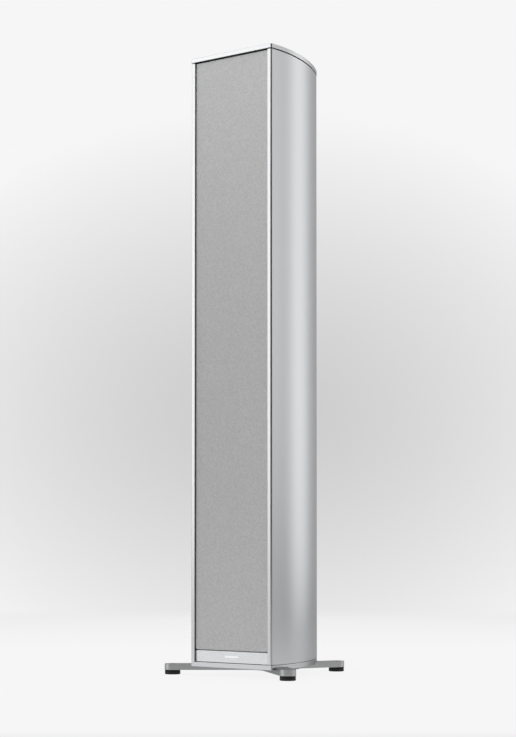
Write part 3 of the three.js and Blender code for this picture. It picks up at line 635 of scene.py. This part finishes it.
def cloth_rings(half_w, half_h):
    """Rings from the middle of the cloth outwards, round the frame's front edge and back along
    its side. A ring is the outline shrunk towards the middle line; the fold is a quarter round
    of radius r: inset r(1 - sin a), depth r(1 - cos a)."""
    fold = 0.5 * MM
    rings = []
    for share in (0.02, 0.3, 0.6, 0.85, 0.96):
        ring = rounded_outline(half_w - fold, half_h - fold, CLOTH_CORNER)
        ring = np.column_stack([ring[:, 0] * share, ring[:, 1] - np.sign(ring[:, 1])
                                * (1 - share) * half_w])
        rings.append(np.column_stack([ring[:, 0], np.zeros(len(ring)), ring[:, 1]]))
    for a in np.radians([0, 30, 60, 90]):
        inset = fold * (1 - math.sin(a))
        ring = rounded_outline(half_w - inset, half_h - inset, CLOTH_CORNER)
        depth = np.full(len(ring), fold * (1 - math.cos(a)))
        rings.append(np.column_stack([ring[:, 0], depth, ring[:, 1]]))
    last = rings[-1].copy()
    last[:, 1] += CLOTH_WRAP - fold
    return np.array([*rings, last])


CLOTH_WIDER, CLOTH_TALLER = 0.15 * MM, 0.8 * MM
half_w = (cloth_high.x - cloth_low.x - CLOTH) / 2 + CLOTH_WIDER
half_h = (cloth_high.z - cloth_low.z - CLOTH) / 2 + CLOTH_TALLER
cloth_points = cloth_rings(half_w, half_h)
cloth_points += [0, cloth_low.y + CLOTH / 2, (cloth_low.z + cloth_high.z) / 2]
cloth = grid_mesh("grille_cloth_sheet", cloth_points, loop_v=True)
work = bmesh.new()
work.from_mesh(cloth.data)
work.verts.ensure_lookup_table()
work.faces.new([work.verts[i] for i in range(cloth_points.shape[1])])
bmesh.ops.recalc_face_normals(work, faces=work.faces)
work.to_mesh(cloth.data)
work.free()
thick = cloth.modifiers.new("thickness", "SOLIDIFY")
thick.thickness, thick.offset = CLOTH, 0
crisp(applied(cloth), 40)


THREAD_PITCH = 0.9 * MM


def acoustic_cloth():
    """Open plain weave, its threads a pitch apart both ways, with the slight mottle that uneven
    polyester yarn gives."""
    made, tree, shader = material("acoustic_cloth", Roughness=1.0, Specular_IOR_Level=0.1)
    place = node(tree, "ShaderNodeTexCoord")
    axes = node(tree, "ShaderNodeSeparateXYZ", [(place.outputs["Object"], "Vector")])
    threads = []
    for axis in ("X", "Z"):
        phase = node(tree, "ShaderNodeMath", [(axes.outputs[axis], 0)], operation="MULTIPLY")
        phase.inputs[1].default_value = 2 * math.pi / THREAD_PITCH
        wave = node(tree, "ShaderNodeMath", [(phase.outputs["Value"], 0)], operation="SINE")
        threads.append(wave)
    weave = node(tree, "ShaderNodeMath", [(threads[0].outputs["Value"], 0),
                                          (threads[1].outputs["Value"], 1)],
                 operation="MULTIPLY")
    uneven = grain(tree, 2.2, 4.0)
    tone = node(tree, "ShaderNodeMapRange", [(uneven.outputs["Fac"], "Value")],
                From_Min=0.25, From_Max=0.75, To_Min=0.41, To_Max=0.55)
    shade = node(tree, "ShaderNodeMath", [(weave.outputs["Value"], 0)],
                 operation="MULTIPLY_ADD")
    shade.inputs[1].default_value = 0.04
    tree.links.new(tone.outputs["Result"], shade.inputs[2])
    tree.links.new(shade.outputs["Value"], shader.inputs["Base Color"])
    roughen(tree, shader, weave.outputs["Value"], 0.15, 0.3)
    return made


dress(cloth, acoustic_cloth(), "grille", "grille_cloth", slot="acoustic_cloth")


# ---------------------------------------------------------------- lower plate
# A brushed aluminium plate with a chamfered upper edge, and a plain bar let into its face.

plate_low, plate_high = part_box("lower_plate")
PLATE_CHAMFER = 2 * MM


def plate_section(low, high):
    """The plate's section: depth and height, with eased corners along the chamfer."""
    ease = 0.25 * MM
    return np.array([
        (high.y, low.z), (high.y, high.z), (low.y + PLATE_CHAMFER + ease, high.z),
        (low.y + PLATE_CHAMFER - ease, high.z - ease),
        (low.y + ease / 2, high.z - PLATE_CHAMFER + ease / 2),
        (low.y, high.z - PLATE_CHAMFER - ease), (low.y, low.z + ease), (low.y + ease, low.z)])


section = plate_section(plate_low, plate_high)
plate = ringed("lower_plate_brushed", [
    np.column_stack([np.full(len(section), x), section[:, 0], section[:, 1]])
    for x in np.linspace(plate_low.x, plate_high.x, 9)])
mark_low, mark_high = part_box("plate_mark")
slot_box = block("mark_slot", (mark_low.x, plate_low.y - MM, mark_low.z),
                 (mark_high.x, mark_high.y, mark_high.z))
cut_with(plate, slot_box)
# Aluminium brushed along its length.
brushed = satin_metal("brushed_aluminium", "cdcecf", 0.3, 0.25, stretch=(60, 1, 1))
dress(plate, brushed, "cabinet", "lower_plate", slot="brushed_aluminium")
bright = satin_metal("bright_aluminium", "e6e6e7", 0.36, 0.5)
kept("plate_mark", bright)


# ---------------------------------------------------------------- tweeter
# A moulded faceplate with a shallow horn, an aluminium dome behind it and a ferrite motor.

ferrite = moulded("sintered_ferrite", "3a3a3c", 0.7, 0.8, 0.4)
metal_cone = satin_metal("anodised_cone_aluminium", "c8cacc", 0.32, 0.7)


face, face_r = middle_of("tweeter_faceplate")
face_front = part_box("tweeter_faceplate")[0].y
face_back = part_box("tweeter_faceplate")[1].y
dome, dome_r = middle_of("tweeter_dome")
dome_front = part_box("tweeter_dome")[0].y
throat = dome_r + 2 * MM
flange_back = face_front + 3.5 * MM
body_r = face_r - 10 * MM
horn = [(throat + 9 * MM * (1 - math.cos(a)), flange_back - 0.5 * MM - 3 * MM * math.sin(a))
        for a in np.radians(np.linspace(0, 90, 8))]
faceplate = turned("tweeter_faceplate_moulding", [
    (throat, face_back), *horn, (face_r - 0.8 * MM, face_front),
    (face_r - 0.2 * MM, face_front + 0.2 * MM), (face_r, face_front + 0.8 * MM),
    (face_r, flange_back), (body_r, flange_back), (body_r, face_back)], 0, face.z)
dress(faceplate, black_abs, "cabinet", "tweeter_faceplate", slot="black_abs")
kept("tweeter_motor", ferrite)


def dome_profile(radius, front, skirt):
    """A dome of 0.8 mm sheet: a circular arc to the rim, then a straight skirt, and back."""
    rise = 6.2 * MM
    ball = (radius ** 2 + rise ** 2) / (2 * rise)
    angle = np.linspace(0, math.asin(radius / ball), 12)
    outer = [(ball * math.sin(a), front + ball * (1 - math.cos(a))) for a in angle]
    sheet = 0.8 * MM
    inner = [(max(r - sheet * r / radius, 0), y + sheet) for r, y in outer[::-1]]
    return outer + [(radius, skirt), (radius - sheet, skirt)] + inner


dome_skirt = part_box("tweeter_dome")[1].y
dome_piece = turned("tweeter_dome_sheet", dome_profile(dome_r, dome_front, dome_skirt), 0,
                    dome.z, 64)
dress(dome_piece, metal_cone, "tweeter_diaphragm", "tweeter_dome", slot="metal_cone")


# ---------------------------------------------------------------- cone drivers
# A midrange with an aluminium cone and two woofers with paper cones, alike but for size: cast
# basket, half-roll rubber surround, cone with dust cap, cotton spider, coil and ferrite motor.

paper_cone = moulded("coated_paper_cone", "2b2b2d", 0.62, 1.6, 0.5)
cotton = board_finish("treated_cotton", "c09a48", 0.9)
copper = satin_metal("enamelled_copper_wire", "a8683a", 0.35, 0.4, stretch=(1, 6, 1))


def flange_profile(low, high, inner, flange_r, bore):
    """The basket as turned: a rounded flange, the seat of the surround, and the bowl behind."""
    y0, y1 = low.y, high.y
    deep = y1 - y0
    wall = 2.5 * MM
    seat = y0 + 3.5 * MM
    waist = bore + 5 * MM
    return [
        (flange_r - 0.9 * MM, y0), (flange_r - 0.25 * MM, y0 + 0.25 * MM),
        (flange_r, y0 + 0.9 * MM), (flange_r, seat), (inner + 2 * wall - MM, seat),
        (inner + 2 * wall - 3 * MM, y0 + deep * 0.34), (waist, y0 + deep * 0.88), (waist, y1),
        (bore - 3 * MM, y1), (bore - 3 * MM, y1 - wall), (waist - wall, y1 - wall),
        (waist - wall, y0 + deep * 0.87), (inner - 1.1 * MM, y0 + deep * 0.31),
        (inner, seat + MM), (inner, y0 + 0.6 * MM), (inner + 0.6 * MM, y0)]


def surround_profile(seat, inner, outer):
    """A half roll of 0.8 mm rubber: an arch of radius r over the gap, out and back."""
    middle, r = (inner + outer) / 2, (outer - inner) / 2
    sheet = 0.8 * MM
    over = [(middle - r * math.cos(a), seat - r * math.sin(a))
            for a in np.radians(np.linspace(0, 180, 17))]
    under = [(middle + (r - sheet) * math.cos(a), seat - (r - sheet) * math.sin(a))
             for a in np.radians(np.linspace(0, 180, 13))]
    return over + under


def cone_profile(low, high, rim, cap):
    """The cone sweeps back from its rim to the dust cap, a shallow dome in front of the neck:
    depth = d * (1 - ((r - cap) / (rim - cap)) ** 0.85)."""
    sheet = 1.2 * MM
    front, neck = low.y, high.y
    deep = (neck - front) * 0.72
    r = np.linspace(cap, rim, 14)
    flare = front + deep * (1 - ((r - cap) / (rim - cap)) ** 0.85)
    cap_r = np.linspace(0, cap, 9)
    dome = front + deep - 5 * MM * (1 - (cap_r / cap) ** 2)
    outer = list(zip(cap_r, dome)) + list(zip(r[1:], flare[1:]))
    inner = [(a - 0.2 * MM if a > 0.4 * MM else 0, b + sheet) for a, b in outer[::-1]]
    coil = cap - 1.5 * MM
    skirt = [(coil + 0.9 * MM, front + deep + sheet), (coil + 0.9 * MM, neck),
             (coil - 0.9 * MM, neck), (coil - 0.9 * MM, front + deep + sheet)]
    outward = [p for p in inner if p[0] > coil + MM]
    inward = [p for p in inner if p[0] < coil - MM]
    return outer + outward + skirt + inward


for driver, cone_finish, cone_slot in (("midrange", metal_cone, "metal_cone"),
                                       ("woofer_upper", paper_cone, "paper_cone"),
                                       ("woofer_lower", paper_cone, "paper_cone")):
    centre, flange_r = middle_of(f"{driver}_basket")
    roll_outer = middle_of(f"{driver}_surround")[1]
    rim = middle_of(f"{driver}_cone")[1]
    coil_r = middle_of(f"{driver}_voice_coil")[1] - 1.15 * MM
    motor_r = middle_of(f"{driver}_motor")[1]
    basket = turned(f"{driver}_basket_casting", flange_profile(
        *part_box(f"{driver}_basket"), roll_outer + 0.1 * MM, flange_r, motor_r), 0, centre.z, 96)
    dress(basket, cast, "cabinet", f"{driver}_basket", slot="cast_aluminium")
    roll = turned(f"{driver}_surround_roll", surround_profile(
        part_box(f"{driver}_surround")[1].y, rim + 0.4 * MM, roll_outer), 0, centre.z, 96)
    dress(roll, rubber, "cabinet", f"{driver}_surround", slot="rubber")
    diaphragm = turned(f"{driver}_cone_skin", cone_profile(
        *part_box(f"{driver}_cone"), rim, coil_r + 1.5 * MM), 0, centre.z, 96)
    dress(diaphragm, cone_finish, f"{driver}_diaphragm", f"{driver}_cone", slot=cone_slot)
    kept(f"{driver}_motor", ferrite)
    kept(f"{driver}_voice_coil", copper)
    kept(f"{driver}_spider", cotton)


def screw_head(x, y, z, radius):
    """A pan head with a shallow socket, as a turned profile placed at x and z."""
    high = 0.55 * radius
    return turned("screw", [
        (0, y), (radius, y), (radius, y - 0.3 * high), (0.8 * radius, y - 0.85 * high),
        (0.5 * radius, y - high), (0.4 * radius, y - high), (0.4 * radius, y - 0.4 * high),
        (0, y - 0.4 * high)], x, z, 20)


def joined(name, pieces):
    """Several separate meshes as one object."""
    work = bmesh.new()
    for piece in pieces:
        work.from_mesh(piece.data)
        bpy.data.objects.remove(piece)
    mesh = bpy.data.meshes.new(name)
    work.to_mesh(mesh)
    work.free()
    return crisp(show(name, mesh))


SCREWS = (("tweeter_faceplate", 4, 4.5), ("midrange_basket", 4, 3.6),
          ("woofer_upper_basket", 8, 3.8), ("woofer_lower_basket", 8, 3.8))
heads = []
for name, count, inset in SCREWS:
    centre, radius = middle_of(name)
    for turn in (np.arange(count) + 0.5) * 2 * math.pi / count:
        place = radius - inset * MM
        heads.append(screw_head(place * math.cos(turn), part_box(name)[0].y,
                                centre.z + place * math.sin(turn), 2.2 * MM))
screws = joined("driver_screws", heads)
black_steel = satin_metal("blackened_steel", "3c3c3e", 0.35, 0.5)
dress(screws, black_steel, "cabinet", slot="zinc_steel")


# ---------------------------------------------------------------- ports and terminals
# Two reflex ports flare out through the back above a recessed terminal cup, whose two gilt posts
# carry fluted screw caps, red and black.

def port_profile(start, back, radius):
    """The tube's wall out to its rim: both ends flare by a quarter ellipse."""
    flare, wall = 5 * MM, 2.5 * MM
    bore = radius - flare - wall
    quarter = np.radians(np.linspace(0, 90, 7))
    inner = [(bore + flare * (1 - math.sin(a)), start + 10 * MM * (1 - math.cos(a)))
             for a in quarter]
    outer = [(bore + flare * (1 - math.cos(a)), back - 16 * MM * (1 - math.sin(a)))
             for a in quarter]
    return [*inner, *outer, (radius, back), (radius, back - 12 * MM),
            (bore + wall, back - 18 * MM), (bore + wall, start + 8 * MM),
            (bore + flare + MM, start + MM)]


def outline_depth(x):
    """How far back the outline reaches at a lateral place, from the front plane."""
    line = side_line(0)[::-1]
    return np.interp(np.abs(x), line[:, 0], line[:, 1])


def trimmed(made):
    """A piece with whatever stands out of the cabinet's back pushed in to the outline."""
    points = np.empty(3 * len(made.data.vertices))
    made.data.vertices.foreach_get("co", points)
    points = points.reshape(-1, 3)
    points[:, 1] = np.minimum(points[:, 1], FRONT + outline_depth(points[:, 0]))
    made.data.vertices.foreach_set("co", points.ravel())
    made.data.update()
    return made


for name in ("port_upper", "port_lower"):
    low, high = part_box(name)
    centre, radius = middle_of(name)
    port = trimmed(turned(f"{name}_tube", port_profile(low.y, high.y, radius), 0, centre.z, 96))
    dress(port, black_abs, "cabinet", name, slot="black_abs")

cup = eased_copy("terminal_cup_moulding", "terminal_cup", 0.4 * MM, 2)
dress(cup, black_abs, "cabinet", "terminal_cup", slot="black_abs")

gilt = satin_metal("gold_plated_brass", "d2b062", 0.2, 0.6)
red_abs = moulded("red_abs", "8c1a1c", 0.4, 0.5, 0.1)


def fluted(angle, profile):
    """Radius factors of a knob's grip: 24 shallow flutes that fade out towards the axis."""
    grip = np.clip((profile[:, 0] - 6 * MM) / (1.5 * MM), 0, 1)
    return 1 + 0.045 * grip * (0.5 * np.cos(24 * angle) - 0.5)


for name, colour in (("red", red_abs), ("black", black_abs)):
    kept(f"binding_post_{name}", gilt)
    kept(f"clamp_washer_{name}", gilt)
    low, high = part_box(f"knob_{name}")
    centre, radius = middle_of(f"knob_{name}")
    bore = 3.3 * MM
    depth = high.y - low.y
    knob = turned(f"knob_{name}_grip", [
        (bore, low.y), (radius - 1 * MM, low.y), (radius, low.y + 1 * MM),
        (radius, high.y - 1.8 * MM), (radius - 0.6 * MM, high.y - 0.6 * MM),
        (radius - 1.8 * MM, high.y), (0, high.y), (0, low.y + 0.86 * depth),
        (bore, low.y + 0.86 * depth)], centre.x, centre.z, 192, fluted)
    dress(knob, colour, f"knob_{name}", f"knob_{name}", slot=f"{name}_abs")


# ---------------------------------------------------------------- crossover and damping
# A crossover board with two copper air coils and a capacitor on the floor of the cabinet, and a
# loose pad of polyester wool behind the lower woofer.

kept("crossover_board", black_board)
kept("woofer_choke", copper)
kept("midrange_choke", copper)
kept("capacitor", black_abs)
wool = moulded("polyester_wool", "e4e2dc", 1.0, 4.0, 1.0)
kept("damping_wool", wool)
